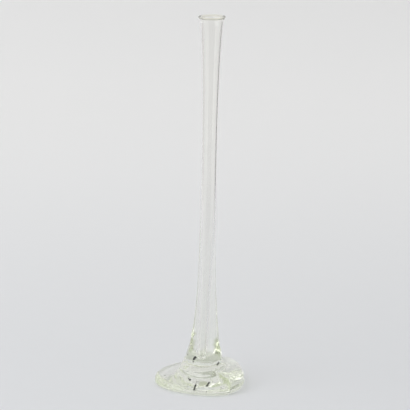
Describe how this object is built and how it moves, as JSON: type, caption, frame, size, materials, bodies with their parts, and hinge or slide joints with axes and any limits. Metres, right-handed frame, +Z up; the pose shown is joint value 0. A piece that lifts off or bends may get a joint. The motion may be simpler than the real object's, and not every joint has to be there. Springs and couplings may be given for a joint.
{
  "type": "bud vase",
  "caption": "Tall clear-glass bud vase: a slim leaning tube with a beaded trumpet mouth, in a heavy tooled glass foot with a drop laid round one side.",
  "frame": {"origin": "on the surface the vase stands on, under the middle of its bounding box", "axes": "+Z up along the vase's height, -Y the front, and the stem leans towards +X"},
  "size_m": [0.0968, 0.103, 0.399],
  "materials": {
    "clear_glass": "polished clear glass, colourless in the thin tube and faintly yellow-green in the thick foot"
  },
  "bodies": {
    "root": {"blown_tube": "clear_glass", "lip_bead": "clear_glass", "stem_casing": "clear_glass", "pressed_foot": "clear_glass", "foot_drop": "clear_glass"}
  },
  "joints": []
}
